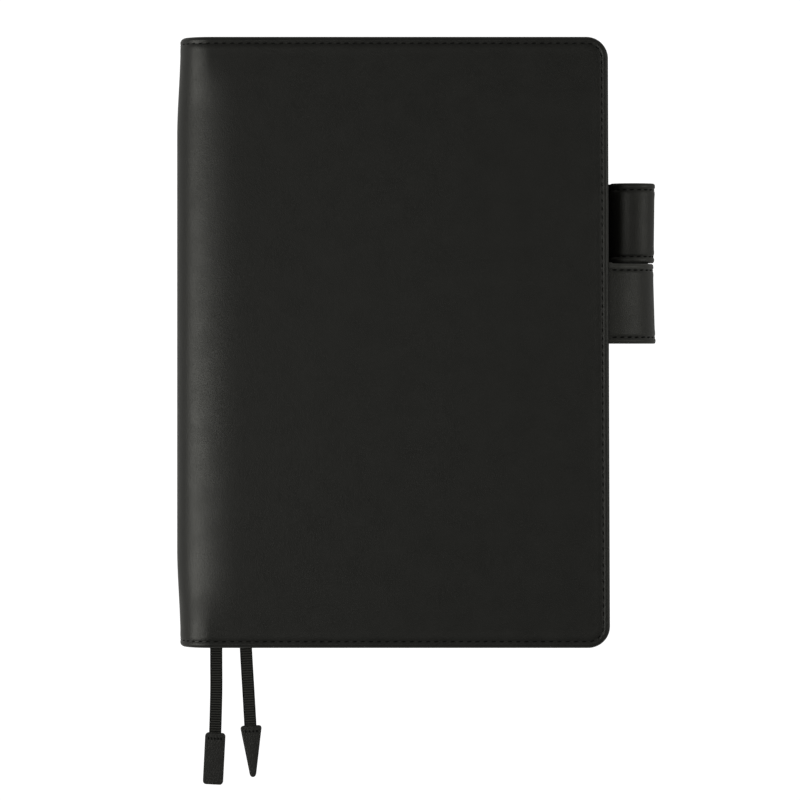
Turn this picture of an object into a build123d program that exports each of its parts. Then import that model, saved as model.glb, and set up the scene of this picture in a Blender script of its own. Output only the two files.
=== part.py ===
"""Leather notebook cover: two stiffened panels, a rounded spine, two pen loops, two bookmarks.

Units are millimetres.  The cover lies closed on its back panel: +X points from the
spine to the fore edge, +Y to the head and +Z from the back panel to the front panel.
The origin is under the middle of the closed cover, pen loops included.
"""
from build123d import *
from math import asin, atan2, cos, degrees, hypot, pi, radians, sin, sqrt, tan
import os

# ---- overall sizes -------------------------------------------------------------------
cover_height = 226.0        # head to tail
cover_width = 160.4         # back of the spine to the fore edge
closed_thickness = 26.0     # outer face to outer face, closed round a notebook
corner_radius = 8.0         # the two rounded fore corners of each panel

# ---- the laminate of a panel, from the outside in ------------------------------------
leather_thickness = 1.2
core_thickness = 0.8        # stiffener board, and the turned hem of leather around it
lining_thickness = 0.6
hem_width = 10.0            # leather turned in along the head, tail and fore edge
core_clearance = 0.2        # between the board and the hem
lining_inset = 1.0          # the lining stops this far short of the edge

# ---- sleeves that take the notebook's own covers -------------------------------------
sleeve_width = 68.0         # from the fore edge of the lining towards the spine
sleeve_thickness = 1.0
sleeve_slot = 2.4           # room between the lining and the sleeve
gusset_width = 4.0          # the sewn edge strip that closes three sides of a sleeve

# ---- fold lines ----------------------------------------------------------------------
fold_angle = 45.0           # how far round the spine each panel's own fold strip reaches
fold_gap = 0.3              # between a fold strip and the spine, at the outer face

# ---- pen loops -----------------------------------------------------------------------
loop_width = 29.7           # along Y
loop_gap = 0.4              # between the two loops
loop_meeting = 29.4         # the Y where the two loops meet
loop_bore_radius = 6.9
loop_leather = 1.0
loop_lining = 0.6
loop_stand_off = 1.0        # between the fore edge and the round of the loop
loop_root_radius = 1.5      # the pinched root, where both ends of the strap meet
loop_root_clearance = 0.3   # between the root and the fore edge
loop_seam_radius = 0.5      # the same root, inside the leather ply
loop_throat = 2.2           # from the root to where the two ends part
loop_throat_radius = 0.2
loop_tab_depth = 8.0        # how far the strap's ends reach into the edge of the panel
loop_tab_clearance = 0.2    # each side of the strap's ends, in the hem

# ---- bookmarks -----------------------------------------------------------------------
ribbon_width = 4.4
ribbon_thickness = 0.5
arc_share = 0.45            # of the shorter run, used up by each arc of a ribbon's route
anchor_length = 14.0
anchor_thickness = 1.0
anchor_margin = 0.7         # the tab reaches this far past each ribbon
tip_ply = 1.0               # each tip is two plies of leather
square_tip_width = 7.1
square_tip_length = 18.8
square_tip_radius = 1.0
triangle_tip_width = 7.5
triangle_tip_length = 18.7
triangle_shoulder_radius = 0.6
triangle_point_radius = 1.0

# ---- worked out from the sizes above -------------------------------------------------
half_height = cover_height / 2
spine_radius = closed_thickness / 2
hem_top = leather_thickness + core_thickness
panel_thickness = hem_top + lining_thickness
loop_radius = loop_bore_radius + loop_lining + loop_leather
loop_reach = loop_stand_off + 2 * loop_radius
half_width = (cover_width + loop_reach) / 2
fore_edge = half_width - loop_reach
spine_centre = spine_radius - half_width
loop_centre = fore_edge + loop_stand_off + loop_radius
loop_root = fore_edge + loop_root_clearance + loop_root_radius
loop_root_height = leather_thickness + core_thickness / 2
gap_angle = degrees(fold_gap / 2 / spine_radius)
mid_plane = Plane.XY.offset(spine_radius)

# Routes of the two ribbons: from the anchor tab down the gutter, over the tail edge of
# the back panel and down to the pieces at their ends.
left_route = [
    (-73.2, 96.0, 3.05), (-73.2, 84.0, 3.05), (-72.5, 62.0, 3.05), (-72.1, 34.0, 3.05),
    (-72.6, 4.0, 3.05), (-73.6, -28.0, 3.05), (-74.4, -58.0, 3.05), (-74.85, -84.0, 3.05),
    (-75.0, -104.0, 3.05), (-75.0, -118.5, 3.0), (-75.0, -133.0, 0.95), (-75.5, -147.4, 1.0),
]
right_route = [
    (-65.0, 96.0, 3.05), (-65.0, 83.0, 3.05), (-64.1, 60.0, 3.05), (-63.9, 32.0, 3.05),
    (-64.6, 2.0, 3.05), (-65.3, -30.0, 3.05), (-65.4, -60.0, 3.05), (-64.9, -86.0, 3.05),
    (-64.35, -104.0, 3.05), (-63.7, -118.0, 3.0), (-62.95, -131.5, 0.95), (-62.2, -144.7, 1.0),
]

os.makedirs("parts", exist_ok=True)


def save(node, solid):
    export_step(solid, f"parts/{node}.step")


def block(x, y, z):
    """A box between the pairs of limits x, y and z."""
    size = Box(x[1] - x[0], y[1] - y[0], z[1] - z[0])
    return Pos((x[0] + x[1]) / 2, (y[0] + y[1]) / 2, (z[0] + z[1]) / 2) * size


def along_y(profile, y):
    """A profile drawn in X and Z, drawn out between the pair of limits y."""
    return extrude(Plane.XZ.offset(-y[1]) * profile, amount=y[1] - y[0])


def panel_plate(inset, near_x, z):
    """A flat ply of a panel: square at near_x, rounded at the fore corners."""
    far_x = fore_edge - inset
    reach = half_height - inset
    plate = block((near_x, far_x), (-reach, reach), z)
    corners = plate.edges().filter_by(Axis.Z).filter_by_position(Axis.X, far_x - 0.1, far_x + 0.1)
    return fillet(corners, corner_radius - inset)


def spine_sector(inner, outer, start, end, y):
    """Part of the round spine, from the angle start to the angle end about its centre."""
    def at(radius, angle):
        turn = radians(angle)
        return (spine_centre + radius * cos(turn), spine_radius + radius * sin(turn))
    middle = (start + end) / 2
    outline = [
        ThreePointArc(at(outer, start), at(outer, middle), at(outer, end)),
        Line(at(outer, end), at(inner, end)),
        ThreePointArc(at(inner, end), at(inner, middle), at(inner, start)),
        Line(at(inner, start), at(outer, start)),
    ]
    return along_y(make_face(outline), y)


def leather_sector(start, end):
    """The spine's leather with its turned hem at the head and the tail."""
    skin_inner = spine_radius - leather_thickness
    hem_inner = spine_radius - hem_top
    skin = spine_sector(skin_inner, spine_radius, start, end, (-half_height, half_height))
    head = spine_sector(hem_inner, skin_inner, start, end, (half_height - hem_width, half_height))
    tail = spine_sector(hem_inner, skin_inner, start, end, (-half_height, hem_width - half_height))
    return skin + head + tail


def lining_sector(start, end):
    inner = spine_radius - panel_thickness
    reach = half_height - lining_inset
    return spine_sector(inner, spine_radius - hem_top, start, end, (-reach, reach))


def loop_tab(y):
    """The flattened ends of a loop's strap, sewn into the edge of the panel."""
    return block((fore_edge - loop_tab_depth, fore_edge), y, (leather_thickness, hem_top))


def panel_leather(loop_y):
    """Outer leather of a panel, with a recess for the board and one for the loop's ends."""
    plate = panel_plate(0, spine_centre, (0, hem_top))
    recess_reach = half_height - hem_width
    recess = block((spine_centre, fore_edge - hem_width), (-recess_reach, recess_reach),
                   (leather_thickness, hem_top))
    notch_y = (loop_y[0] - loop_tab_clearance, loop_y[1] + loop_tab_clearance)
    notch = block((fore_edge - loop_tab_depth - loop_tab_clearance, fore_edge), notch_y,
                  (leather_thickness, hem_top))
    return plate - recess - notch


def panel_core():
    reach = half_height - hem_width - core_clearance
    return block((spine_centre, fore_edge - hem_width - core_clearance), (-reach, reach),
                 (leather_thickness, hem_top))


def sleeve_gusset():
    """The edge strip that holds the sleeve off the lining at the head, tail and fore edge."""
    z = (panel_thickness, panel_thickness + sleeve_slot)
    near_x = fore_edge - lining_inset - sleeve_width
    strip = panel_plate(lining_inset, near_x, z)
    reach = half_height - lining_inset - gusset_width
    return strip - block((near_x, fore_edge - lining_inset - gusset_width), (-reach, reach), z)


def sleeve_leather():
    bottom = panel_thickness + sleeve_slot
    near_x = fore_edge - lining_inset - sleeve_width
    return panel_plate(lining_inset, near_x, (bottom, bottom + sleeve_thickness))


def panel_pieces(loop_y):
    """All the plies of the back panel, by name, as they lie at the bottom of the cover."""
    fold = (270 - fold_angle + gap_angle, 270)
    return {
        "outer_leather": panel_leather(loop_y),
        "outer_leather_fold": leather_sector(*fold),
        "core_board": panel_core(),
        "lining": panel_plate(lining_inset, spine_centre, (hem_top, panel_thickness)),
        "lining_fold": lining_sector(*fold),
        "sleeve_gusset": sleeve_gusset(),
        "sleeve": sleeve_leather(),
        "loop_tab": loop_tab(loop_y),
    }


def teardrop(round_radius, root_radius, root):
    """The outline round two circles: the loop's own and a small one at its root."""
    centre = (loop_centre, spine_radius)
    away = (centre[0] - root[0], centre[1] - root[1])
    distance = hypot(*away)
    heading = atan2(away[1], away[0])
    slope = asin((round_radius - root_radius) / distance)

    def at(middle, radius, angle):
        return (middle[0] + radius * cos(angle), middle[1] + radius * sin(angle))
    upper = heading + pi / 2 + slope
    lower = heading - pi / 2 - slope
    outline = [
        Line(at(root, root_radius, upper), at(centre, round_radius, upper)),
        ThreePointArc(at(centre, round_radius, upper), at(centre, round_radius, heading),
                      at(centre, round_radius, lower)),
        Line(at(centre, round_radius, lower), at(root, root_radius, lower)),
        ThreePointArc(at(root, root_radius, lower), at(root, root_radius, heading + pi),
                      at(root, root_radius, upper)),
    ]
    return make_face(outline)


def loop_pieces(y):
    """The back cover's loop: a leather strap and its lining, folded back on themselves."""
    root = (loop_root, loop_root_height)
    reach = hypot(loop_centre - root[0], spine_radius - root[1])
    throat = (root[0] + (loop_centre - root[0]) * loop_throat / reach,
              root[1] + (spine_radius - root[1]) * loop_throat / reach)
    outside = teardrop(loop_radius, loop_root_radius, root)
    seam = teardrop(loop_radius - loop_leather, loop_seam_radius, root)
    inside = teardrop(loop_bore_radius, loop_throat_radius, throat)
    return {
        "loop_leather": along_y(outside - seam, y),
        "loop_lining": along_y(seam - inside, y),
    }


def ribbon(name, route):
    """A flat ribbon along straight runs joined by arcs as large as the runs allow."""
    points = [Vector(*point) for point in route]
    runs = [after - before for before, after in zip(points, points[1:])]
    radii = []
    for before, after in zip(runs, runs[1:]):
        turn = radians(before.get_angle(after))
        radii.append(arc_share * min(before.length, after.length) / tan(turn / 2))
    path = FilletPolyline(*points, radius=radii)
    across = Vector(-runs[0].Y, runs[0].X, 0)
    start = Plane(origin=points[0], x_dir=across, z_dir=runs[0])
    section = start * Rectangle(ribbon_width, ribbon_thickness)
    solid = sweep(section, path=path)
    expected = ribbon_width * ribbon_thickness * path.length
    print(name, "radii", [round(radius) for radius in radii], "length", round(path.length, 1),
          "volume", round(solid.volume, 1), "of", round(expected, 1))
    return solid


def square_outline():
    width, length = square_tip_width, square_tip_length
    return Pos(0, -length / 2) * RectangleRounded(width, length, square_tip_radius)


def triangle_outline():
    half = triangle_tip_width / 2
    face = make_face(Polyline((-half, 0), (half, 0), (0, -triangle_full_length()), close=True))
    face = fillet(face.vertices().sort_by(Axis.Y)[0], triangle_point_radius)
    shoulders = face.vertices().group_by(Axis.Y)[-1]
    return fillet(shoulders, triangle_shoulder_radius)


def triangle_full_length():
    """Length to the sharp corner that the rounded point, at triangle_tip_length, comes from."""
    half = triangle_tip_width / 2
    reach = triangle_tip_length - triangle_point_radius
    span = half ** 2 - triangle_point_radius ** 2
    return half * (half * reach + triangle_point_radius * sqrt(reach ** 2 + span)) / span


def bookmark_tip(outline, route, ply):
    """One ply of a tip: 0 lies on the table, 1 on top of it, in line with its ribbon's end."""
    before, end = route[-2], route[-1]
    heading = degrees(atan2(end[1] - before[1], end[0] - before[0]))
    face = Pos(end[0], end[1], ply * tip_ply) * Rot(0, 0, heading + 90) * outline
    return extrude(face, amount=tip_ply)


def anchor_tab():
    """The tab that sews both ribbons to the back lining at the head of the gutter."""
    left = left_route[0][0] - ribbon_width / 2 - anchor_margin
    right = right_route[0][0] + ribbon_width / 2 + anchor_margin
    tail = left_route[0][1]
    return block((left, right), (tail, tail + anchor_length),
                 (panel_thickness, panel_thickness + anchor_thickness))


# ---- the back panel, and the front panel as its mirror image -------------------------
back_loop_y = (loop_meeting + loop_gap / 2, loop_meeting + loop_gap / 2 + loop_width)
front_loop_y = (loop_meeting - loop_gap / 2 - loop_width, loop_meeting - loop_gap / 2)

for name, piece in panel_pieces(back_loop_y).items():
    save(f"back_{name}", piece)
for name, piece in loop_pieces(back_loop_y).items():
    save(f"back_{name}", piece)
for name, piece in panel_pieces(front_loop_y).items():
    save(f"front_{name}", mirror(piece, about=mid_plane))
for name, piece in loop_pieces(front_loop_y).items():
    save(f"front_{name}", mirror(piece, about=mid_plane))

# ---- the spine -----------------------------------------------------------------------
spine_arc = (90 + fold_angle + gap_angle, 270 - fold_angle - gap_angle)
interlining_reach = half_height - hem_width - core_clearance
save("spine_outer_leather", leather_sector(*spine_arc))
save("spine_interlining", spine_sector(spine_radius - hem_top, spine_radius - leather_thickness,
                                       *spine_arc, (-interlining_reach, interlining_reach)))
save("spine_lining", lining_sector(*spine_arc))

# ---- the bookmarks -------------------------------------------------------------------
save("bookmark_anchor_tab", anchor_tab())
save("bookmark_ribbon_left", ribbon("left ribbon", left_route))
save("bookmark_ribbon_right", ribbon("right ribbon", right_route))
for ply, ply_name in enumerate(("lower", "upper")):
    save(f"square_tip_{ply_name}", bookmark_tip(square_outline(), left_route, ply))
    save(f"triangle_tip_{ply_name}", bookmark_tip(triangle_outline(), right_route, ply))
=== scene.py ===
"""The looks of a leather notebook cover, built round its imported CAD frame.

Sizes are in millimetres unless a name says otherwise; meshes are made in metres.
Each half of the cover, back and front, is modelled flat and then wrapped round the
section of the cover: q is the way along the leather from the middle of the spine,
y runs from tail to head, and n is the depth below the leather's outer face.
"""
import math

import bmesh
import bpy
import numpy as np
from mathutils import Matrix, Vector


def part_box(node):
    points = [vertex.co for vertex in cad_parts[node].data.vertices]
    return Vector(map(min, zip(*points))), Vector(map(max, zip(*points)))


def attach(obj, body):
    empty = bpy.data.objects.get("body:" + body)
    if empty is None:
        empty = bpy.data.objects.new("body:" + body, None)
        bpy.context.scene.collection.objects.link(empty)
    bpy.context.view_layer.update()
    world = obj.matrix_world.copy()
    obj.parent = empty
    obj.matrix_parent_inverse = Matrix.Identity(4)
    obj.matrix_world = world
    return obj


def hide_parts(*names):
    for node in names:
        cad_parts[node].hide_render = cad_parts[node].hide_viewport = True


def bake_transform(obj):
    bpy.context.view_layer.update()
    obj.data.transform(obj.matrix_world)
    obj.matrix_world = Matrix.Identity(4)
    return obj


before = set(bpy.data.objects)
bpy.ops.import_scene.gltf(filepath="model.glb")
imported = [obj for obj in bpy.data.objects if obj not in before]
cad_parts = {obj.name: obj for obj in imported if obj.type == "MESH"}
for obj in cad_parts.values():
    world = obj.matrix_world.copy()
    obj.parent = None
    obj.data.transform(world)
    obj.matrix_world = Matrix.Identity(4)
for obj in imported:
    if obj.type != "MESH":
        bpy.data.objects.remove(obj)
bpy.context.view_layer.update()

MM = 0.001
random = np.random.default_rng(7)


# ---- sizes taken from the frame --------------------------------------------------------
def box_mm(node):
    """The lowest and highest corners of a CAD node, in millimetres."""
    low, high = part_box(node)
    return low / MM, high / MM


leather_low, leather_high = box_mm("back_outer_leather")
fold_x = leather_low.x
fore_x = leather_high.x
half_height = leather_high.y
hem_depth = leather_high.z
closed_thickness = box_mm("front_outer_leather")[1].z
spine_radius = closed_thickness / 2
lining_depth = box_mm("back_lining")[1].z
lining_inset = fore_x - box_mm("back_lining")[1].x
board_high = box_mm("back_core_board")[1]
board_edge = fore_x - board_high.x
sleeve_low, sleeve_high = box_mm("back_sleeve")
sleeve_thickness = sleeve_high.z - sleeve_low.z
sleeve_slot = sleeve_low.z - lining_depth
sleeve_mouth = lining_inset + sleeve_high.x - sleeve_low.x      # from the fore edge
spine_x = fold_x - spine_radius

# ---- sizes that only the looks have ----------------------------------------------------
corner_radius = 8.0
leather_ply = 1.2
seam_inset = 2.42           # of the stitch line from the edge
stitch_pitch = 3.0
stitch_length = 2.35
thread_radius = 0.24
edge_radius = 1.0           # of the turned leather edge
front_ease = 2.75           # how gradually the front panel rounds into the spine
front_end_ease = 1.0        # the same at the head and the tail, where the hem stiffens it
back_ease = 1.0
end_reach = 27.0            # how far in from the head and the tail the hem stiffens the bend
front_skew = 0.4            # how far the closed front panel leans out at the tail
pinch_depth = 1.5           # how far the spine draws in at the head and the tail
pinch_reach = 36.0          # how far from the head and the tail it draws in
pinch_width = 22.0          # how far round from the middle of the spine it draws in
short_depth = 1.0           # how much the spine falls short at the head; at the tail, half of it
short_reach = 14.0          # how far from the head and the tail it is pulled short
short_width = 9.0           # how far round from the middle of the spine it is pulled short
groove_depth = 0.11         # of the stitched groove in the outer leather
thread_depth = 0.12         # of the thread's middle below the outer face
thread_sink = 0.1           # of the thread's middle below the inner faces
mouth_stitch_inset = 3.0    # of the stitch line along a sleeve's mouth


# ---- the cover's section ---------------------------------------------------------------
class Section:
    """The curve of one half from the middle of the spine: a bend, then flat."""

    def __init__(self, ease):
        steps = 600
        share = (np.arange(steps) + 0.5) / steps
        turn = math.pi / 2 * (1 - share) ** ease
        self.arc = spine_radius / np.sin(turn).mean()
        step = self.arc / steps
        along = np.concatenate([[0], np.cumsum(np.cos(turn)) * step])
        rise = np.concatenate([[0], np.cumsum(np.sin(turn)) * step])
        flat = fore_x - spine_x - along[-1]
        self.length = self.arc + flat
        self.q = np.concatenate([np.linspace(0, self.arc, steps + 1), [self.length]])
        self.x = spine_x + np.concatenate([along, [along[-1] + flat]])
        self.rise = np.concatenate([rise, [spine_radius]])
        edges = np.linspace(0, 1, steps + 1)
        self.turn = np.concatenate([math.pi / 2 * (1 - edges) ** ease, [0]])

    def at(self, share):
        """Place, rise and turn at a share of the way from the spine to the fore edge."""
        q = share * self.length
        return [np.interp(q, self.q, values) for values in (self.x, self.rise, self.turn)]


def smooth(value):
    value = np.clip(value, 0, 1)
    return value * value * (3 - 2 * value)


class Half:
    """The back or the front half of the cover, from the middle of the spine to the fore edge."""

    def __init__(self, side, ease, end_ease, skew):
        self.side, self.skew = side, skew
        self.middle, self.end = Section(ease), Section(end_ease)
        self.arc, self.length = self.middle.arc, self.middle.length

    def wrap(self, q, y, n):
        """Points in the frame, in metres, for places on the flat half."""
        q, y, n = np.broadcast_arrays(np.asarray(q, float), np.asarray(y, float), np.asarray(n, float))
        share = q / self.length
        from_end = half_height - np.abs(y)
        tight = smooth((end_reach - from_end) / (end_reach - 4))
        x, rise, turn = [(1 - tight) * middle + tight * end
                         for middle, end in zip(self.middle.at(share), self.end.at(share))]
        pinch = pinch_depth * smooth((pinch_reach - from_end) / pinch_reach)
        pinch = pinch * np.clip(1 - q / pinch_width, 0, 1) ** 2
        x = x + n * np.sin(turn) + pinch + self.skew * (0.3 - y / half_height) * share ** 4
        z = spine_radius + self.side * (rise - n * np.cos(turn))
        tip = np.clip((short_reach - from_end) / short_reach, 0, 1)
        short = short_depth * np.where(y > 0, 1.0, 0.5) * tip ** 2 * np.clip(1 - q / short_width, 0, 1) ** 2
        return np.stack([x, y - np.sign(y) * short, z], -1) * MM

    def wrap_inside(self, q, y, n):
        """The same for pieces on the inside, whose n is turned round."""
        return self.wrap(q, y, -n)


back = Half(-1, back_ease, back_ease, 0.0)
front = Half(1, front_ease, front_end_ease, front_skew)


# ---- meshes ----------------------------------------------------------------------------
def mesh_object(name, points, faces, flat=None):
    """A closed, smooth-shaded object with crisp edges where its faces meet at a steep angle.

    flat gives each point's place before the piece was bent, for the materials that need it."""
    mesh = bpy.data.meshes.new(name)
    mesh.from_pydata([tuple(p) for p in points], [], faces)
    mesh.validate()
    if flat is not None:
        kept = mesh.attributes.new("flat", "FLOAT_VECTOR", "POINT")
        kept.data.foreach_set("vector", (np.asarray(flat, float) * MM).ravel())
    shape = bmesh.new()
    shape.from_mesh(mesh)
    bmesh.ops.remove_doubles(shape, verts=shape.verts, dist=1e-7)
    bmesh.ops.dissolve_degenerate(shape, edges=shape.edges, dist=1e-7)
    bmesh.ops.recalc_face_normals(shape, faces=shape.faces)
    shape.to_mesh(mesh)
    shape.free()
    mesh.shade_smooth()
    mesh.set_sharp_from_angle(angle=math.radians(40))
    obj = bpy.data.objects.new(name, mesh)
    bpy.context.scene.collection.objects.link(obj)
    return obj


def grid_faces(rows, columns, offset=0, closed=False):
    """Quads over a grid of points stored row by row, closed round its columns if asked."""
    faces = []
    for row in range(rows - 1):
        for column in range(columns if closed else columns - 1):
            after = (column + 1) % columns
            faces.append((offset + row * columns + column, offset + row * columns + after,
                          offset + (row + 1) * columns + after, offset + (row + 1) * columns + column))
    return faces


def two_sided(name, outer, inner, rows, columns, flat=None):
    """A closed ply between two grids of points that match row by row."""
    count = rows * columns
    faces = grid_faces(rows, columns) + grid_faces(rows, columns, count)
    ring = [(0, c) for c in range(columns)] + [(r, columns - 1) for r in range(1, rows)]
    ring += [(rows - 1, c) for c in range(columns - 2, -1, -1)]
    ring += [(r, 0) for r in range(rows - 2, 0, -1)]
    for here, there in zip(ring, ring[1:] + ring[:1]):
        first, second = here[0] * columns + here[1], there[0] * columns + there[1]
        faces.append((first, second, second + count, first + count))
    both = None if flat is None else np.concatenate([flat, flat])
    return mesh_object(name, np.concatenate([outer, inner]), faces, both)


EDGE_STEPS = [0, 0.04, 0.15, 0.32, 0.55, 0.8, 1.0, 1.25, 1.5, 1.72, 1.9, 2.05, 2.18, 2.3,
              2.42, 2.55, 2.7, 2.9, 3.2, 3.6, 4.1, 4.7, 5.4, 6.2, 7.1, 8.0]


def graded(start, end, step):
    """Even steps from start to end, without start itself."""
    count = max(1, round((end - start) / step))
    return list(np.linspace(start, end, count + 1)[1:])


def half_rows(half, inset, end):
    """Distances from the fore edge: fine at the edge and round the spine, wide between."""
    edge = [inset + step for step in EDGE_STEPS]
    if end <= half.length - half.arc:
        return np.array(edge + graded(edge[-1], end, 3.0))
    bend = half.length - half.arc
    last = min(end, half.length - 2.0)
    rows = edge + graded(edge[-1], bend, 3.0) + graded(bend, last, 0.8)
    if end > last:
        rows += [half.length - gap for gap in (1.3, 0.8, 0.45, 0.2, 0.06, 0)]
    return np.array(rows)


def side_columns(inset):
    """Places across the height of the cover: fine at the head and the tail."""
    reach = half_height - inset
    tail = [-reach + step for step in EDGE_STEPS]
    middle = graded(tail[-1], -tail[-1], 3.0)
    return np.array(tail + middle + [reach - step for step in reversed(EDGE_STEPS[:-1])])


def round_corners(a, y, inset, radius):
    """Bends a square grid's two fore corners round, its lines staying parallel to the edge."""
    reach = half_height - inset
    p = radius - (a - inset)
    w = radius - (reach - np.abs(y))
    inside = (p > 0) & (w > 0)
    ring = np.where(inside, np.maximum(p, w), 1)
    angle = math.pi / 4 * np.where(inside, np.minimum(p, w), 0) / ring
    long, short = ring * np.cos(angle), ring * np.sin(angle)
    new_p = np.where(p >= w, long, short)
    new_w = np.where(p >= w, short, long)
    a = np.where(inside, inset + radius - new_p, a)
    y = np.where(inside, np.sign(y) * (reach - radius + new_w), y)
    return a, y


def slab(name, half, inset, end, outer, inner, radius=None, rows=None, columns=None):
    """A ply of one half of the cover, between the depths outer and inner.

    It runs from inset to end, both measured from the fore edge; the depths are functions of
    the distance from the cover's edge, the distance from the fore edge and the height."""
    radius = corner_radius - inset if radius is None else radius
    rows = half_rows(half, inset, end) if rows is None else rows
    columns = side_columns(inset) if columns is None else columns
    a, y = np.meshgrid(rows, columns, indexing="ij")
    distance = inset + np.minimum(a - inset, (half_height - inset) - np.abs(y))
    flat_a, flat_y = round_corners(a, y, inset, radius) if radius else (a, y)
    sheets = []
    for depth in (outer, inner):
        n = depth(distance, flat_a, flat_y)
        sheets.append(half.wrap(half.length - flat_a, flat_y, n).reshape(-1, 3))
    flat = np.stack([half.length - flat_a, flat_y, 0 * a], -1).reshape(-1, 3)
    return two_sided(name, *sheets, *a.shape, flat)


def bell(distance, centre, width):
    return np.exp(-((distance - centre) / width) ** 2)


def gentle_waves(a, y, size):
    """The slight unevenness of leather glued over board; none round the spine."""
    size = size * np.clip((135 - a) / 25, 0, 1)
    wave = (np.sin(a / 17 + 1.3) * np.sin(y / 23 + 0.4) + 0.6 * np.sin(a / 9.1 + y / 31)
            + 0.5 * np.sin(y / 12.7 - a / 27 + 2.0))
    return size * wave


# ---- outer leather ---------------------------------------------------------------------
face_depth = 0.12           # of the leather between its seams, below its proudest line


def leather_outer(distance, a, y):
    """The outer face: a rounded edge, a stitched groove, and a fuller line inside it."""
    edge = np.clip(1 - distance / edge_radius, 0, 1)
    rounding = edge_radius * (1 - np.sqrt(1 - edge ** 2))
    depth = face_depth + groove_depth * bell(distance, seam_inset, 0.45)
    depth -= 0.07 * bell(distance, seam_inset + 1.7, 1.2)
    depth -= 0.09 * bell(distance, 1.25, 0.6)
    inland = np.clip((distance - 6) / 20, 0, 1)
    return depth + rounding + gentle_waves(a, y, 0.035) * inland


def leather_inner(distance, a, y):
    """The turned hem, and the recess for the board further in."""
    edge = np.clip(1 - distance / edge_radius, 0, 1)
    rounding = edge_radius * (1 - np.sqrt(1 - edge ** 2))
    recess = (hem_depth - leather_ply) * np.clip((distance - board_edge + 0.4) / 0.4, 0, 1)
    meet = leather_outer(distance, a, y)
    full = hem_depth - rounding - recess
    return np.where(distance < 1e-6, meet, np.maximum(full, meet + 0.02))


def panel_leather(name, half):
    return slab(name, half, 0, half.length, leather_outer, leather_inner)


# ---- lining, boards and sleeves --------------------------------------------------------
def level(depth):
    return lambda distance, a, y: depth + 0 * distance


def lining_face(distance, a, y):
    """The side of the lining that shows, thinned to a soft edge and pulled in by the seam."""
    inland = np.clip((distance - 6) / 20, 0, 1)
    edge = np.clip(1 - (distance - lining_inset) / 0.4, 0, 1)
    depth = lining_depth - 0.3 * edge ** 2 - 0.16 * bell(distance, seam_inset, 0.4)
    return depth + gentle_waves(y, a, 0.03) * inland


def lining(name, half):
    return slab(name, half, lining_inset, half.length, level(hem_depth + 0.01), lining_face)


def flat_slab(name, half, start, end, reach, outer, inner):
    """A plain square-cornered ply from start to end, measured from the fore edge."""
    rows = np.array([start] + graded(start, end, 1.0))
    columns = np.array([-reach] + graded(-reach, reach, 6.0))
    return slab(name, half, 0, end, level(outer), level(inner), 0, rows, columns)


def sleeve_lift(distance):
    """How far a sleeve stands off the lining: sewn down at its edges, slack further in."""
    return sleeve_slot * smooth((distance - 3.0) / 9.0)


def sleeve_under(distance, a, y):
    return lining_depth + 0.02 + sleeve_lift(distance)


def sleeve_face(distance, a, y):
    from_mouth = sleeve_mouth - a
    edge = np.clip(1 - (distance - lining_inset) / 0.5, 0, 1)
    lip = np.clip(1 - from_mouth / 0.5, 0, 1)
    groove = 0.2 * bell(distance, seam_inset, 0.4) + 0.18 * bell(from_mouth, mouth_stitch_inset, 0.4)
    depth = lining_depth + 0.02 + sleeve_lift(distance) + sleeve_thickness
    return depth - 0.5 * edge ** 2 - 0.45 * lip ** 2 - groove


def sleeve(name, half):
    edge = [lining_inset + step for step in EDGE_STEPS]
    lip_steps = (4.2, 3.7, 3.3, 3.15, 3.0, 2.85, 2.7, 2.3, 1.5, 0.8, 0.5, 0.3, 0.12, 0)
    lip = [sleeve_mouth - step for step in lip_steps]
    rows = np.array(edge + graded(edge[-1], sleeve_mouth - 5.0, 3.0) + lip)
    return slab(name, half, lining_inset, sleeve_mouth, sleeve_under, sleeve_face, rows=rows)


# ---- stitches --------------------------------------------------------------------------
def stitch_points(length, radius):
    """One stitch along X, arched: rings of points, its ends dipping into their holes."""
    rings, sides = 7, 6
    points = []
    for ring in range(rings):
        along = -1 + 2 * ring / (rings - 1)
        swell = math.sqrt(max(0.0, 1 - (0.93 * along) ** 2)) ** 0.6
        dip = 0.42 * abs(along) ** 3
        for side in range(sides):
            turn = 2 * math.pi * side / sides
            points.append((along * length / 2, radius * swell * math.cos(turn),
                           dip + radius * swell * math.sin(turn)))
    faces = grid_faces(rings, sides, closed=True)
    faces.append(tuple(range(sides - 1, -1, -1)))
    faces.append(tuple(range((rings - 1) * sides, rings * sides)))
    return np.array(points), faces


def seam_thread(name, places, to_frame, length=stitch_length, radius=thread_radius):
    """All the stitches of a seam as one object.

    places are (q, y, heading, depth) on the flat piece, and to_frame turns flat places
    (q, y, n) into points in the frame."""
    shape, shape_faces = stitch_points(length, radius)
    points, faces = [], []
    for q, y, heading, depth in places:
        lean = heading + random.normal(0.10, 0.025)
        c, s = math.cos(lean), math.sin(lean)
        flat_q = q + shape[:, 0] * c - shape[:, 1] * s
        flat_y = y + shape[:, 0] * s + shape[:, 1] * c
        faces += [tuple(len(points) * len(shape) + i for i in face) for face in shape_faces]
        points.append(to_frame(flat_q, flat_y, depth + shape[:, 2]))
    return mesh_object(name, np.concatenate(points), faces)


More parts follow.
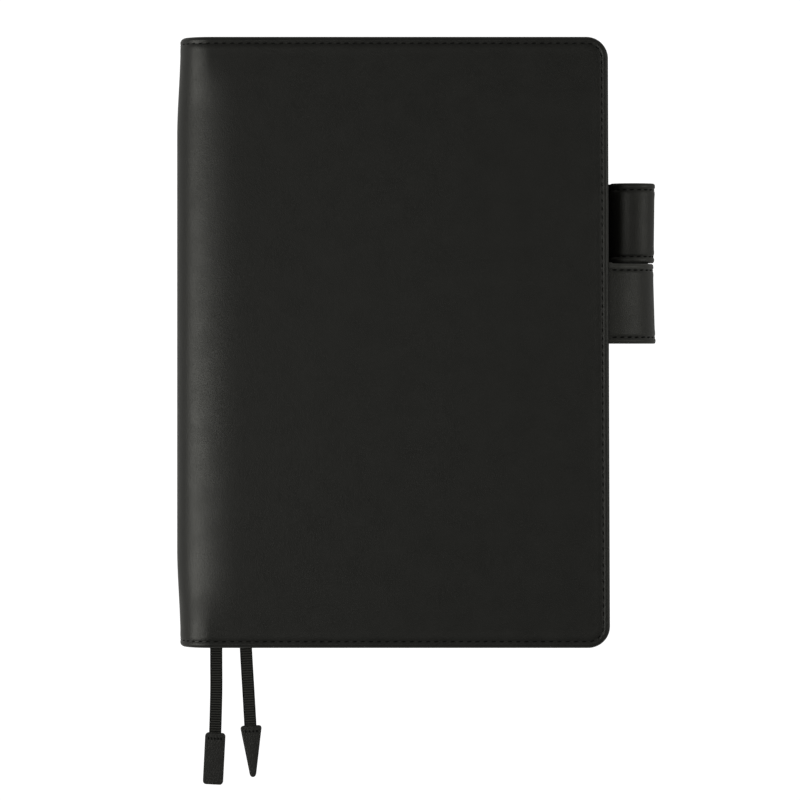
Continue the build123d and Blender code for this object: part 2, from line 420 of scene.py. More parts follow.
def outline_places(half, inset, depth):
    """Stitches along the head, fore edge and tail of one half, inset from the edge."""
    radius = corner_radius - inset
    straight = half.length - corner_radius
    reach = half_height - inset
    side = 2 * (half_height - corner_radius)
    bend = math.pi / 2 * radius
    total = 2 * straight + 2 * bend + side
    count = round(total / stitch_pitch)
    places = []
    for index in range(count):
        way = (index + 0.5) * total / count
        if way < straight:
            q, y, heading = way, reach, 0.0
        elif way < straight + bend:
            turn = (way - straight) / radius
            q, y = straight + radius * math.sin(turn), reach - radius + radius * math.cos(turn)
            heading = -turn
        elif way < straight + bend + side:
            q, heading = half.length - inset, -math.pi / 2
            y = half_height - corner_radius - (way - straight - bend)
        elif way < straight + 2 * bend + side:
            turn = (way - straight - bend - side) / radius
            q = straight + radius * math.cos(turn)
            y, heading = -(reach - radius) - radius * math.sin(turn), -math.pi / 2 - turn
        else:
            q, y, heading = total - way, -reach, math.pi
        places.append((q, y, heading, depth(q, y)))
    return places


def outer_seam(name, half):
    places = outline_places(half, seam_inset, lambda q, y: face_depth + thread_depth)
    return seam_thread(name, places, half.wrap)


def inner_seam(name, half):
    """The same seam on the inside, over the sleeve or the bare lining."""
    def depth(q, y):
        on_sleeve = q > half.length - sleeve_mouth - 1
        return -(lining_depth + (sleeve_thickness if on_sleeve else 0) - thread_sink)

    return seam_thread(name, outline_places(half, seam_inset, depth), half.wrap_inside)


def mouth_seam(name, half):
    """The line of stitches along the mouth of a sleeve."""
    q = half.length - sleeve_mouth + mouth_stitch_inset
    reach = half_height - lining_inset - 4.0
    count = round(2 * reach / stitch_pitch)
    places = []
    for index in range(count):
        y = -reach + (index + 0.5) * 2 * reach / count
        lift = float(sleeve_lift(half_height - abs(y)))
        places.append((q, y, math.pi / 2, -(lining_depth + sleeve_thickness + lift - thread_sink)))
    return seam_thread(name, places, half.wrap_inside)


# ---- pen loops -------------------------------------------------------------------------
loop_low, loop_high = box_mm("front_loop_leather")
loop_reach = loop_high.x - fore_x + 0.2
loop_width = loop_high.y - loop_low.y
loop_round = 8.5
loop_ply = 1.0
loop_backing = 0.6
skived = 0.5                # share of the strap's thickness left at its sewn-in ends
root_height = 11.8          # of the strap's upper face above the middle of the cover
loop_seam = 2.4             # of the stitch lines from the loop's edges
loop_face_depth = 0.20      # of the strap's face below its proudest line
loop_thread_depth = 0.20    # of the thread's middle below the strap's face


def loop_line():
    """The outer face of a loop's strap, seen from the tail: out over the top, round and back."""
    middle = loop_reach - loop_round
    points = [(-0.8, root_height), (-0.4, root_height)]
    for step in range(61):
        turn = math.pi / 2 * (1 - step / 60)
        points.append((loop_reach * math.cos(turn), root_height * math.sin(turn)))
    for step in range(1, 61):
        turn = -math.pi * step / 60
        points.append((middle + loop_round * math.cos(turn), loop_round * math.sin(turn)))
    bend = 2.6
    start = middle - loop_round
    rise = root_height - 1.6 - bend
    points += [(start, rise * share) for share in (0.25, 0.5, 0.75, 1.0)]
    for step in range(1, 13):
        turn = math.radians(72) * step / 12
        points.append((start - bend + bend * math.cos(turn), rise + bend * math.sin(turn)))
    return np.array(points)


class Loop:
    """A loop's strap: w runs along it, v across it from its free edge, n is depth below its face.

    taper is how much smaller the loop is where the two meet, slack how far it has settled with
    no pen in it, and flare how much wider its root and its underside are at the meeting edge."""

    def __init__(self, side, free_edge, meeting_edge, taper, slack, flare):
        self.side, self.free, self.meeting = side, free_edge, meeting_edge
        self.taper, self.slack, self.flare = taper, slack, flare
        line = loop_line()
        gaps = np.hypot(*np.diff(line, axis=0).T)
        way = np.concatenate([[0], np.cumsum(gaps)])
        self.length = way[-1]
        self.w = np.linspace(0, self.length, 160)
        self.x = np.interp(self.w, way, line[:, 0])
        self.z = np.interp(self.w, way, line[:, 1])
        slope_x, slope_z = np.gradient(self.x, self.w), np.gradient(self.z, self.w)
        size = np.hypot(slope_x, slope_z)
        self.in_x, self.in_z = slope_z / size, -slope_x / size

    def wrap(self, w, v, n):
        w, v, n = np.broadcast_arrays(np.asarray(w, float), np.asarray(v, float), np.asarray(n, float))
        ends = np.minimum(w, self.length - w)
        n = n * (skived + (1 - skived) * np.clip(ends / 4.0, 0, 1))
        x = np.interp(w, self.w, self.x) + n * np.interp(w, self.w, self.in_x)
        z = np.interp(w, self.w, self.z) + n * np.interp(w, self.w, self.in_z)
        share = v / loop_width
        size = 1 - self.taper * np.clip(share, 0, 1)
        middle = root_height - 0.8
        underside = (z < -3.6) & (x < loop_reach - 1.9)
        flare = self.flare * (underside | (w < 2.5))
        y = self.free + (self.meeting - self.free) * share * (1 + flare / loop_width)
        z = spine_radius + self.side * (middle + (z - middle) * size * (1 - self.slack))
        return np.stack([fore_x + x * size, y, z], -1) * MM


def loop_columns():
    steps = [0, 0.05, 0.15, 0.3, 0.5, 0.9, 1.4, 1.8, 2.05, 2.25, 2.4, 2.55, 2.75, 3.0, 3.5, 4.2, 5.2]
    return np.array(steps + graded(steps[-1], loop_width - steps[-1], 1.6)
                    + [loop_width - step for step in reversed(steps[:-1])])


def loop_face(w, v):
    edge = np.minimum(v, loop_width - v)
    groove = 0.30 * bell(edge, loop_seam, 0.42)
    full = 0.12 * bell(edge, loop_seam + 1.6, 1.0) + 0.20 * bell(edge, 1.2, 0.7)
    return loop_face_depth + groove - full + 0.40 * np.clip(1 - edge / 0.5, 0, 1) ** 2


def loop_inside(w, v):
    edge = np.minimum(v, loop_width - v)
    return loop_ply + loop_backing - 0.25 * np.clip(1 - edge / 0.35, 0, 1) ** 2


def loop_ply_mesh(name, loop, outer, inner):
    w, v = np.meshgrid(np.linspace(0, loop.length, 150), loop_columns(), indexing="ij")
    sheets = [loop.wrap(w, v, depth(w, v)).reshape(-1, 3) for depth in (outer, inner)]
    return two_sided(name, *sheets, *w.shape, np.stack([w, v, 0 * w], -1).reshape(-1, 3))


def loop_thread(name, loop):
    places = []
    start, end = 1.6, loop.length - 4.5
    count = round((end - start) / stitch_pitch)
    for v in (loop_seam, loop_width - loop_seam):
        for index in range(count):
            way = start + (index + 0.5) * (end - start) / count
            places.append((way, v, 0.0, loop_face_depth + loop_thread_depth))
    return seam_thread(name, places, loop.wrap)


# ---- bookmarks -------------------------------------------------------------------------
left_route = [
    (-73.2, 96.0, 3.05), (-73.2, 84.0, 3.05), (-72.5, 62.0, 3.05), (-72.1, 34.0, 3.05),
    (-72.6, 4.0, 3.05), (-73.6, -28.0, 3.05), (-74.4, -58.0, 3.05), (-74.85, -84.0, 3.05),
    (-75.0, -104.0, 3.05), (-75.0, -118.5, 3.0), (-75.0, -133.0, 0.95), (-75.5, -147.4, 1.0),
]
right_route = [
    (-65.0, 96.0, 3.05), (-65.0, 83.0, 3.05), (-64.1, 60.0, 3.05), (-63.9, 32.0, 3.05),
    (-64.6, 2.0, 3.05), (-65.3, -30.0, 3.05), (-65.4, -60.0, 3.05), (-64.9, -86.0, 3.05),
    (-64.35, -104.0, 3.05), (-63.7, -118.0, 3.0), (-62.95, -131.5, 0.95), (-62.2, -144.7, 1.0),
]
ribbon_width = 4.6
ribbon_thickness = 0.42
rib_pitch = 0.92
tip_ply = 1.0
tip_overlap = 0.6           # how far a tip reaches up over its ribbon's last point
tip_crown = 0.14            # how much the upper ply swells over the ribbon between the plies
tip_seam = 2.1              # of a tip's stitches from its upper end


def smooth_line(route):
    """Points along the ribbon's smooth line, read from a NURBS spline through its route."""
    curve = bpy.data.curves.new("route", "CURVE")
    curve.dimensions = "3D"
    spline = curve.splines.new("NURBS")
    spline.points.add(len(route) - 1)
    for point, place in zip(spline.points, route):
        point.co = (place[0] * MM, place[1] * MM, place[2] * MM, 1)
    spline.order_u = 3
    spline.use_endpoint_u = True
    spline.resolution_u = 32
    holder = bpy.data.objects.new("route", curve)
    bpy.context.scene.collection.objects.link(holder)
    line = bpy.data.meshes.new_from_object(holder)
    points = np.array([vertex.co for vertex in line.vertices]) / MM
    bpy.data.objects.remove(holder)
    bpy.data.meshes.remove(line)
    return points


def ribbon(name, route):
    """A grosgrain ribbon: fine ribs across it, and a plain woven edge."""
    line = smooth_line(route)
    way = np.concatenate([[0], np.cumsum(np.linalg.norm(np.diff(line, axis=0), axis=1))])
    rings = int(way[-1] / rib_pitch * 5)
    along = np.linspace(0, way[-1], rings)
    middle = np.stack([np.interp(along, way, line[:, axis]) for axis in range(3)], -1)
    ahead = np.gradient(middle, along, axis=0)
    ahead /= np.linalg.norm(ahead, axis=1)[:, None]
    across = np.cross(ahead, (0, 0, 1))
    across /= np.linalg.norm(across, axis=1)[:, None]
    upwards = np.cross(across, ahead)
    rib = np.abs(np.cos(math.pi * along / rib_pitch)) ** 0.7
    half = ribbon_width / 2
    top = [-1, -0.985, -0.93, -0.86, -0.5, 0, 0.5, 0.86, 0.93, 0.985, 1]
    profile = [(u, 1) for u in top] + [(u, -1) for u in reversed(top)]
    rows = []
    for u, face in profile:
        selvedge = 0.25 if abs(u) > 0.9 else 1.0
        swell = 0.35 if abs(u) == 1 else (0.8 if abs(u) > 0.98 else 1.0)
        height = face * (ribbon_thickness / 2 - 0.16 * selvedge * (1 - rib)) * swell
        rows.append(middle + across * (u * half) + upwards * height[:, None])
    points = np.stack(rows, 1).reshape(-1, 3) * MM
    sides = len(profile)
    flat = [(u * half, way_on, 0) for way_on in along for u, face in profile]
    faces = grid_faces(rings, sides, closed=True)
    faces.append(tuple(range(sides - 1, -1, -1)))
    faces.append(tuple(range((rings - 1) * sides, rings * sides)))
    return mesh_object(name, points, faces, flat), line * MM


def plate(name, outline, length, low, high, place, crown):
    """A flat piece of leather: outline gives its half width along it, place puts it down."""
    steps = [0, 0.03, 0.1, 0.22, 0.4, 0.7, 1.1, 1.6]
    rows = np.array(steps + graded(steps[-1], length - steps[-1], 0.8)
                    + [length - step for step in reversed(steps[:-1])])
    one_side = [0.25, 0.5, 0.75, 0.88, 0.95, 0.985, 1]
    shares = np.array([-share for share in reversed(one_side)] + [0] + one_side)
    down, share = np.meshgrid(rows, shares, indexing="ij")
    width = outline(down)
    edge = np.minimum(np.minimum(down, length - down), (1 - np.abs(share)) * width)
    soft = 0.22 * (1 - np.sqrt(1 - np.clip(1 - edge / 0.22, 0, 1) ** 2))
    swell = crown * (1 - share ** 2)
    sheets = []
    for height in (high - soft + swell, low + soft):
        sheets.append(np.stack([share * width, -down, height], -1).reshape(-1, 3))
    return two_sided(name, *[place(sheet) for sheet in sheets], *down.shape)


def rounded_end(down, length, radius):
    """How much a corner of that radius takes off the half width near both ends."""
    gap = np.clip(radius - np.minimum(down, length - down), 0, radius)
    return radius - np.sqrt(radius ** 2 - gap ** 2)


square_length, square_width = 19.4, 7.6
triangle_length, triangle_width = 19.3, 7.95


def square_outline(down):
    return square_width / 2 - rounded_end(down, square_length, 1.3)


def triangle_outline(down):
    """Straight sides to a rounded point; the roots stay just above zero at both ends."""
    half, blunt = triangle_width / 2, 1.15
    sides = half - (half - blunt) * np.clip((down - 0.8) / (triangle_length - 1.6), 0, 1)
    point = np.clip(1 - (triangle_length - down) / blunt, 0, 1)
    shoulder = np.clip(1.1 - down, 0, 1.1)
    return sides * np.sqrt(1.0004 - point ** 2) - (1.1 - np.sqrt(1.2101 - shoulder ** 2))


def end_place(route, lean_degrees, aside):
    """Puts a flat piece at the end of a ribbon, almost in line with it."""
    end = np.array(route[-1]) * MM
    before = np.array(route[-2]) * MM
    turn = math.atan2(end[1] - before[1], end[0] - before[0]) + math.pi / 2 + math.radians(lean_degrees)
    end[0] += aside * MM
    c, s = math.cos(turn), math.sin(turn)

    def place(points):
        x, y, z = points[:, 0] * MM, (points[:, 1] + tip_overlap) * MM, points[:, 2] * MM
        return np.stack([end[0] + x * c - y * s, end[1] + x * s + y * c, z], -1)
    return place


def tip(name, outline, length, route, lean_degrees, aside, marks):
    """The two plies at a ribbon's end and the row of stitches that closes them on it."""
    place = end_place(route, lean_degrees, aside)
    lower = plate(f"{name}_ply_lower", outline, length, 0.0, tip_ply - 0.02, place, 0.0)
    upper = plate(f"{name}_ply_upper", outline, length, tip_ply + 0.02, 2 * tip_ply, place, tip_crown)
    spots = [(x, -tip_seam, math.pi / 2, 0.0) for x in marks]

    def to_frame(x, y, n):
        return place(np.stack([x, y, 2 * tip_ply + 0.18 - n], -1))
    thread = seam_thread(f"{name}_thread", spots, to_frame, 1.2, 0.24)
    return lower, upper, thread


def anchor(name):
    """The leather tab that holds the ribbons' sewn ends, and its stitches."""
    low, high = box_mm("bookmark_anchor_tab")
    half, length = (high.x - low.x) / 2, high.y - low.y
    middle = (low.x + high.x) / 2

    def place(points):
        return np.stack([middle + points[:, 0], high.y + points[:, 1], low.z + points[:, 2]], -1) * MM

    def outline(down):
        return half - rounded_end(down, length, 1.5)

    tab = plate(name, outline, length, 0.03, high.z - low.z, place, 0.05)
    spots = []
    inset, pitch = 1.6, 2.7
    for index in range(4):
        along = -half + inset + (index + 0.5) * pitch
        for down in (inset, length - inset):
            spots.append((along, -down, 0.0, 0.0))
        for x in (-half + inset, half - inset):
            spots.append((x, -(inset + (index + 0.5) * pitch), math.pi / 2, 0.0))

    def to_frame(x, y, n):
        spot = np.stack([x, y, high.z - low.z + 0.10 - n], -1)
        return place(spot)
    return tab, seam_thread(f"{name}_thread", spots, to_frame, 2.1, 0.2)


# ---- materials -------------------------------------------------------------------------
class Surface:
    """A material under construction: short calls for the nodes used here."""

    def __init__(self, name, **sockets):
        self.material = bpy.data.materials.new(name)
        self.material.use_nodes = True
        self.tree = self.material.node_tree
        self.shader = self.tree.nodes["Principled BSDF"]
        for socket, value in sockets.items():
            self.shader.inputs[socket.replace("_", " ")].default_value = value

    def add(self, kind, inputs, **settings):
        node = self.tree.nodes.new(kind)
        for setting, value in settings.items():
            setattr(node, setting, value)
        for socket, value in inputs.items():
            if isinstance(value, bpy.types.NodeSocket):
                self.tree.links.new(value, node.inputs[socket])
            else:
                node.inputs[socket].default_value = value
        return node

    def place(self):
        return self.add("ShaderNodeTexCoord", {}).outputs["Object"]

    def flat_place(self):
        """The place on the piece before it was bent, in metres."""
        return self.add("ShaderNodeAttribute", {}, attribute_name="flat").outputs["Vector"]

    def noise(self, where, size_mm, detail=2.0, roughness=0.5):
        inputs = {"Vector": where, "Scale": 1 / (size_mm * MM), "Detail": detail, "Roughness": roughness}
        return self.add("ShaderNodeTexNoise", inputs).outputs["Fac"]

    def spread(self, value, low, high, out_low=0.0, out_high=1.0):
        inputs = {"Value": value, "From Min": low, "From Max": high, "To Min": out_low, "To Max": out_high}
        return self.add("ShaderNodeMapRange", inputs, interpolation_type="SMOOTHSTEP").outputs["Result"]

    def math(self, operation, first, second=0.0):
        return self.add("ShaderNodeMath", {0: first, 1: second}, operation=operation).outputs["Value"]

    def blend(self, first, first_share, second, second_share):
        """Two values added up, each times its share."""
        return self.math("ADD", self.math("MULTIPLY", first, first_share),
                         self.math("MULTIPLY", second, second_share))

    def mix(self, share, first, second):
        """A colour between first and second: the node's colour sockets are 6 and 7, and 2 comes out."""
        inputs = {0: share, 6: first, 7: second}
        return self.add("ShaderNodeMix", inputs, data_type="RGBA").outputs[2]

    def finish(self, color, roughness, height, depth_mm):
        self.tree.links.new(color, self.shader.inputs["Base Color"])
        self.tree.links.new(roughness, self.shader.inputs["Roughness"])
        inputs = {"Strength": 1.0, "Distance": depth_mm * MM, "Height": height}
        bump = self.add("ShaderNodeBump", inputs)
        self.tree.links.new(bump.outputs["Normal"], self.shader.inputs["Normal"])
        return self.material


def grey(value, warmth=0.0):
    """A linear grey with a share of its blue taken out."""
    return (value, value, value * (1 - warmth), 1.0)


def leather(name, dark, light, cell_mm, depth_mm, rough_low, rough_high, painted_highlight_from=None):
    """Dyed, finished leather: small creased cells, pores, and a slow change of tone.

    The last argument, if given, is where, in flat Y, a painted highlight begins: a lighter, patchy band
    along an edge, standing in for the light that the rolled edge catches."""
    surface = Surface(name, IOR=1.5)
    where = surface.place()
    bend = surface.add("ShaderNodeTexNoise",
                       {"Vector": where, "Scale": 1 / (2.6 * cell_mm * MM), "Detail": 1.0})
    shift = surface.add("ShaderNodeVectorMath", {0: bend.outputs["Color"], 1: (0.5, 0.5, 0.5)},
                        operation="SUBTRACT").outputs["Vector"]
    shift = surface.add("ShaderNodeVectorMath", {0: shift, "Scale": 0.9 * cell_mm * MM},
                        operation="SCALE").outputs["Vector"]
    bent = surface.add("ShaderNodeVectorMath", {0: where, 1: shift}, operation="ADD").outputs["Vector"]
    cells = surface.add("ShaderNodeTexVoronoi", {"Vector": bent, "Scale": 1 / (cell_mm * MM)},
                        feature="DISTANCE_TO_EDGE").outputs["Distance"]
    pebble = surface.spread(cells, 0.0, 0.28)
    fine = surface.noise(where, 0.14, 2.0, 0.6)
    broad = surface.noise(where, 9.0, 3.0)
    height = surface.blend(pebble, 0.7, fine, 0.45)
    height = surface.blend(height, 1.0, surface.noise(where, 2.2, 2.0), 1.4)
    color = surface.mix(surface.blend(pebble, 0.45, broad, 0.55), dark, light)
    # painted highlight: a lighter, patchy band along the edge, standing in for the light caught by the
    # rolled edge
    if painted_highlight_from:
        across = surface.add("ShaderNodeSeparateXYZ", {"Vector": surface.flat_place()}).outputs["Y"]
        highlight_band = surface.spread(across, (painted_highlight_from - 0.2) * MM, (painted_highlight_from + 0.3) * MM, 0.0, 0.8)
        patchy = surface.spread(surface.noise(where, 2.5, 3.0), 0.25, 0.6, 0.3, 1.0)
        color = surface.mix(surface.math("MULTIPLY", highlight_band, patchy), color, grey(0.040, 0.06))
    roughness = surface.spread(surface.blend(broad, 0.6, fine, 0.4), 0.3, 0.7, rough_low, rough_high)
    return surface.finish(color, roughness, height, depth_mm)


def woven(name, dark, light, pitch_mm, depth_mm, roughness):
    """A plain-woven lining cloth."""
    surface = Surface(name, IOR=1.45, Sheen_Weight=0.15, Sheen_Roughness=0.5)
    where = surface.flat_place()
    split = surface.add("ShaderNodeSeparateXYZ", {"Vector": where})
    turns = 2 * math.pi / (pitch_mm * MM)
    u = surface.math("SINE", surface.math("MULTIPLY", split.outputs["X"], turns))
    v = surface.math("SINE", surface.math("MULTIPLY", split.outputs["Y"], turns))
    over = surface.math("MULTIPLY", u, v)
    weave = surface.spread(over, -1.0, 1.0)
    uneven = surface.noise(where, 0.5, 3.0, 0.6)
    height = surface.blend(weave, 1.0, uneven, 0.6)
    color = surface.mix(surface.blend(weave, 0.5, uneven, 0.5), dark, light)
    rough = surface.spread(uneven, 0.3, 0.7, roughness - 0.06, roughness + 0.06)
    return surface.finish(color, rough, height, depth_mm)


def thread(name, dark, light):
    """Twisted sewing thread."""
    surface = Surface(name, IOR=1.35, Specular_IOR_Level=0.2)
    where = surface.place()
    split = surface.add("ShaderNodeSeparateXYZ", {"Vector": where})
    across = surface.math("ADD", split.outputs["X"], split.outputs["Y"])
    wave = surface.math("SINE", surface.math("MULTIPLY", across, 2 * math.pi / (0.42 * MM)))
    twist = surface.spread(wave, -1.0, 1.0)
    fibre = surface.noise(where, 0.08, 2.0)
    color = surface.mix(twist, dark, light)
    rough = surface.spread(fibre, 0.3, 0.7, 0.6, 0.75)
    return surface.finish(color, rough, surface.blend(twist, 1.0, fibre, 0.3), 0.05)


def ribbed(name, dark, light):
    """Grosgrain: fine warp threads along ribs that are modelled, and darker woven edges."""
    surface = Surface(name, IOR=1.45, Specular_IOR_Level=0.25)
    where = surface.flat_place()
    split = surface.add("ShaderNodeSeparateXYZ", {"Vector": where})
    warp = surface.math("SINE", surface.math("MULTIPLY", split.outputs["X"], 2 * math.pi / (0.22 * MM)))
    warp = surface.spread(warp, -1.0, 1.0)
    rib_turns = 2 * math.pi / (rib_pitch * MM)
    rib = surface.math("COSINE", surface.math("MULTIPLY", split.outputs["Y"], rib_turns))
    rib = surface.spread(rib, -0.3, 1.0)
    fibre = surface.noise(where, 0.1, 2.0)
    from_middle = surface.math("ABSOLUTE", split.outputs["X"])
    edge = ribbon_width / 2
    inner = surface.spread(from_middle, (edge - 0.7) * MM, (edge - 0.3) * MM, 1.0, 0.25)
    tone = surface.math("MULTIPLY", surface.blend(warp, 0.15, rib, 0.85), inner)
    color = surface.mix(tone, dark, light)
    rough = surface.spread(fibre, 0.3, 0.7, 0.5, 0.66)
    return surface.finish(color, rough, surface.blend(warp, 1.0, fibre, 0.4), 0.04)


def board_card(name):
    """Grey board, specked with fibres."""
    surface = Surface(name, IOR=1.45)
    where = surface.place()
    fibre = surface.noise(where, 0.7, 4.0, 0.7)
    color = surface.mix(fibre, grey(0.10, 0.02), grey(0.24, 0.03))
    rough = surface.spread(fibre, 0.3, 0.7, 0.85, 0.95)
    return surface.finish(color, rough, fibre, 0.05)


# ---- assembly --------------------------------------------------------------------------
outer_leather = leather("outer_leather", grey(0.0040, 0.12), grey(0.0080, 0.12), 0.62, 0.022, 0.33, 0.43)
# the loops' leather is a lighter copy of the cover's black leather: painted fill light that lifts the
# loops' shaded sides
loop_leather = leather("loop_leather", grey(0.0090, 0.12), grey(0.0160, 0.12), 0.70, 0.034, 0.34, 0.46,
                       loop_width - loop_seam + 0.4)
trim_leather = leather("trim_leather", grey(0.0015, 0.12), grey(0.0100, 0.12), 0.95, 0.090, 0.42, 0.58)
sleeve_leather = leather("sleeve_leather", grey(0.0110, 0.12), grey(0.0160, 0.12), 0.45, 0.010, 0.50, 0.60)
lining_cloth = woven("lining_cloth", grey(0.010), grey(0.022), 0.56, 0.06, 0.72)
sewing_thread = thread("sewing_thread", grey(0.002), grey(0.006))
ribbon_cloth = ribbed("ribbon_cloth", grey(0.001, 0.08), grey(0.052, 0.08))
grey_board = board_card("grey_board")
board_faces = (1.21, 1.98)          # depths of the boards' two faces
interlining_faces = (1.25, 1.8)


def bend_over(first, second, start, lean_degrees, reach):
    """A fold between two bodies: where the bend starts, which way it runs and how far."""
    lean = math.radians(lean_degrees)
    begin = Vector((start[0], 0, start[1]))
    return first, second, begin * MM, (begin + reach * Vector((math.cos(lean), 0, math.sin(lean)))) * MM


back_bend = bend_over("back_cover", "spine", (fold_x - 0.3, 1.7), 130, 14.2)
front_bend = bend_over("spine", "front_cover", (spine_x + 0.3, spine_radius + 1.0), 75, 20.0)


def fit(piece, material, slot, body, *stands_for):
    """Gives a piece its material and the body that it rides on, and hides the CAD parts it stands for; a
    piece over a fold is baked where it lies. slot is not used.
    """
    piece.data.materials.append(material)
    if isinstance(body, str):
        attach(piece, body)
    else:
        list(body)
        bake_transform(piece)
    if stands_for:
        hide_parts(*stands_for)


for side, half, bend in (("back", back, back_bend), ("front", front, front_bend)):
    cover = f"{side}_cover"
    fit(panel_leather(f"cover_leather_{side}", half), outer_leather, "outer_leather", bend,
        f"{side}_outer_leather", f"{side}_outer_leather_fold", "spine_outer_leather")
    fit(lining(f"lining_{side}", half), lining_cloth, "lining", bend,
        f"{side}_lining", f"{side}_lining_fold", "spine_lining")
    flat_end = half.length - half.arc
    fit(flat_slab(f"board_{side}", half, board_edge, flat_end, board_high.y, *board_faces),
        grey_board, "board", cover if side == "back" else bend, f"{side}_core_board")
    fit(flat_slab(f"interlining_{side}", half, flat_end + 0.2, half.length, board_high.y,
                  *interlining_faces),
        grey_board, "board", bend, "spine_interlining")
    fit(sleeve(f"sleeve_{side}", half), sleeve_leather, "sleeve_leather", cover,
        f"{side}_sleeve", f"{side}_sleeve_gusset")
    fit(outer_seam(f"seam_outer_{side}", half), sewing_thread, "outer_leather", bend)
    fit(inner_seam(f"seam_inner_{side}", half), sewing_thread, "outer_leather", bend)
    fit(mouth_seam(f"seam_mouth_{side}", half), sewing_thread, "sleeve_leather", cover)

# which way each loop faces, and its taper, slack and flare
loop_shapes = {"back": (-1, 0.018, 0.30, 0.0), "front": (1, 0.05, 0.0, 0.35)}
for side, (sign, taper, slack, flare) in loop_shapes.items():
    low, high = box_mm(f"{side}_loop_leather")
    free, meeting = (high.y, low.y) if side == "back" else (low.y, high.y)
    loop = Loop(sign, free, meeting, taper, slack, flare)
    root = bend_over(f"{side}_cover", f"{side}_pen_loop", (fore_x - 0.5, 0), 0, 3.5)
    fit(loop_ply_mesh(f"loop_leather_{side}", loop, loop_face, lambda w, v: loop_ply + 0 * v),
        loop_leather, "loop_leather", root, f"{side}_loop_leather")
    fit(loop_ply_mesh(f"loop_lining_{side}", loop, lambda w, v: loop_ply + 0.01 + 0 * v, loop_inside),
        loop_leather, "loop_leather", root, f"{side}_loop_lining")
    fit(loop_thread(f"loop_seam_{side}", loop), sewing_thread, "loop_leather", root)
    tab_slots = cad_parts[f"{side}_loop_tab"].data.materials
    tab_slots.clear()
    tab_slots.append(loop_leather)

tab, tab_thread = anchor("anchor_tab")
fit(tab, trim_leather, "trim_leather", "back_cover", "bookmark_anchor_tab")
fit(tab_thread, sewing_thread, "trim_leather", "back_cover")
# each tip's shape, outline, length, lean in degrees, shift to the right and stitches across it
tips = {
    "left": ("square", square_outline, square_length, -0.9, 0.1, (-2.5, -1.3, -0.1, 1.1, 2.3)),
    "right": ("triangle", triangle_outline, triangle_length, -0.8, 0.2, (-2.0, -0.6, 0.8, 2.2)),
}
for side, (shape, outline, length, lean, aside, marks) in tips.items():
    route = left_route if side == "left" else right_route
    piece, line = ribbon(f"ribbon_{side}", route)
    fit(piece, ribbon_cloth, "ribbon", "back_cover", f"bookmark_ribbon_{side}")
    lower, upper, sewn = tip(f"{shape}_tip", outline, length, route, lean, aside, marks)
    fit(lower, trim_leather, "trim_leather", "back_cover", f"{shape}_tip_lower")
    fit(upper, trim_leather, "trim_leather", "back_cover", f"{shape}_tip_upper")
    fit(sewn, sewing_thread, "trim_leather", "back_cover")
    Vector(route[0]) * MM
    [tuple(p) for p in line]

# ---- floor, camera and light -----------------------------------------------------------
light_blue = 0.925          # of the slightly warm light, against 1 for its red and green


def floor_paper():
    """Paper that lights the object softly and looks plain white to the camera."""
    paper = Surface("floor_paper", Base_Color=(0.8, 0.8, 0.8, 1), Roughness=0.9, Emission_Strength=0.12)
    paper.shader.inputs["Emission Color"].default_value = (1, 1, 1, 1)
    seen = paper.add("ShaderNodeEmission", {"Strength": 1.1}).outputs["Emission"]
    to_camera = paper.add("ShaderNodeLightPath", {}).outputs["Is Camera Ray"]
    both = paper.add("ShaderNodeMixShader", {0: to_camera, 1: paper.shader.outputs["BSDF"], 2: seen})
    paper.tree.links.new(both.outputs["Shader"], paper.tree.nodes["Material Output"].inputs["Surface"])
    return paper.material


def lay_floor(half_size, height):
    corners = [(x * half_size, y * half_size, height) for x, y in ((-1, -1), (1, -1), (1, 1), (-1, 1))]
    mesh = bpy.data.meshes.new("floor")
    mesh.from_pydata(corners, [], [(0, 1, 2, 3)])
    mesh.materials.append(floor_paper())
    floor = bpy.data.objects.new("floor", mesh)
    bpy.context.scene.collection.objects.link(floor)


def aim_camera():
    """Straight above the closed cover, looking down."""
    data = bpy.data.cameras.new("camera")
    data.lens = 170.5
    data.sensor_width = 36
    data.shift_y = -0.0720
    camera = bpy.data.objects.new("camera", data)
    camera.location = (-0.00597, 0, 1.426)
    bpy.context.scene.collection.objects.link(camera)
    bpy.context.scene.camera = camera


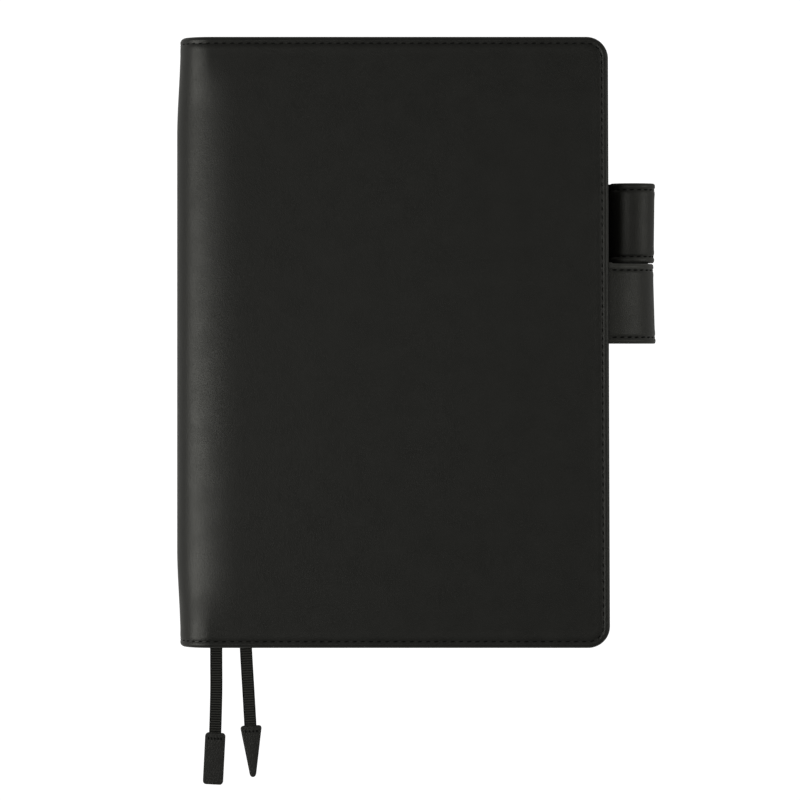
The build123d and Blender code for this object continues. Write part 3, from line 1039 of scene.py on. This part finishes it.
def softbox(name, place, target, width, height, watts):
    """A rectangular lamp at place that faces target; the camera doesn't see it."""
    data = bpy.data.lights.new(name, "AREA")
    data.shape = "RECTANGLE"
    data.size, data.size_y, data.energy = width, height, watts
    data.color = (1, 1, light_blue)
    lamp = bpy.data.objects.new(name, data)
    lamp.visible_camera = False
    lamp.location = place
    lamp.rotation_euler = (Vector(target) - Vector(place)).to_track_quat("-Z", "Y").to_euler()
    bpy.context.scene.collection.objects.link(lamp)


def studio_world(at_horizon, at_zenith):
    """Soft light from all round, stronger near the horizon; plain white to the camera."""
    world = bpy.data.worlds.new("studio")
    world.use_nodes = True
    nodes, links = world.node_tree.nodes, world.node_tree.links
    to_camera = nodes.new("ShaderNodeLightPath").outputs["Is Camera Ray"]
    direction = nodes.new("ShaderNodeTexCoord")
    parts = nodes.new("ShaderNodeSeparateXYZ")
    fade = nodes.new("ShaderNodeMapRange")
    fade.inputs["To Min"].default_value = at_horizon
    fade.inputs["To Max"].default_value = at_zenith
    glow = nodes.new("ShaderNodeMath")
    blue = nodes.new("ShaderNodeMath")
    glow.operation = blue.operation = "MAXIMUM"
    blue.inputs[0].default_value = light_blue
    tint = nodes.new("ShaderNodeCombineColor")
    tint.inputs["Red"].default_value = tint.inputs["Green"].default_value = 1
    links.new(direction.outputs["Generated"], parts.inputs["Vector"])
    links.new(parts.outputs["Z"], fade.inputs["Value"])
    links.new(fade.outputs["Result"], glow.inputs[0])
    links.new(to_camera, glow.inputs[1])
    links.new(to_camera, blue.inputs[1])
    links.new(blue.outputs["Value"], tint.inputs["Blue"])
    links.new(glow.outputs["Value"], nodes["Background"].inputs["Strength"])
    links.new(tint.outputs["Color"], nodes["Background"].inputs["Color"])
    bpy.context.scene.world = world


lay_floor(8.0, -0.0002)
aim_camera()
softbox("left_softbox", (-1.53, -0.22, 0.95), (-0.05, -0.05, 0), 0.7, 1.0, 7.5)
softbox("middle_softbox", (-0.95, -0.14, 1.5), (-0.04, -0.02, 0), 0.4, 0.8, 2.8)
softbox("high_softbox", (-0.50, -0.02, 1.63), (-0.03, 0, 0), 0.3, 0.35, 0.46)
softbox("top_softbox", (0.22, 0.0, 1.75), (0.03, 0, 0), 0.3, 0.35, 0.27)
softbox("right_softbox", (1.33, 0.1, 1.3), (0.08, 0, 0), 0.6, 1.0, 3.4)
studio_world(0.44, 0.10)
bpy.context.scene.view_settings.view_transform = "Standard"
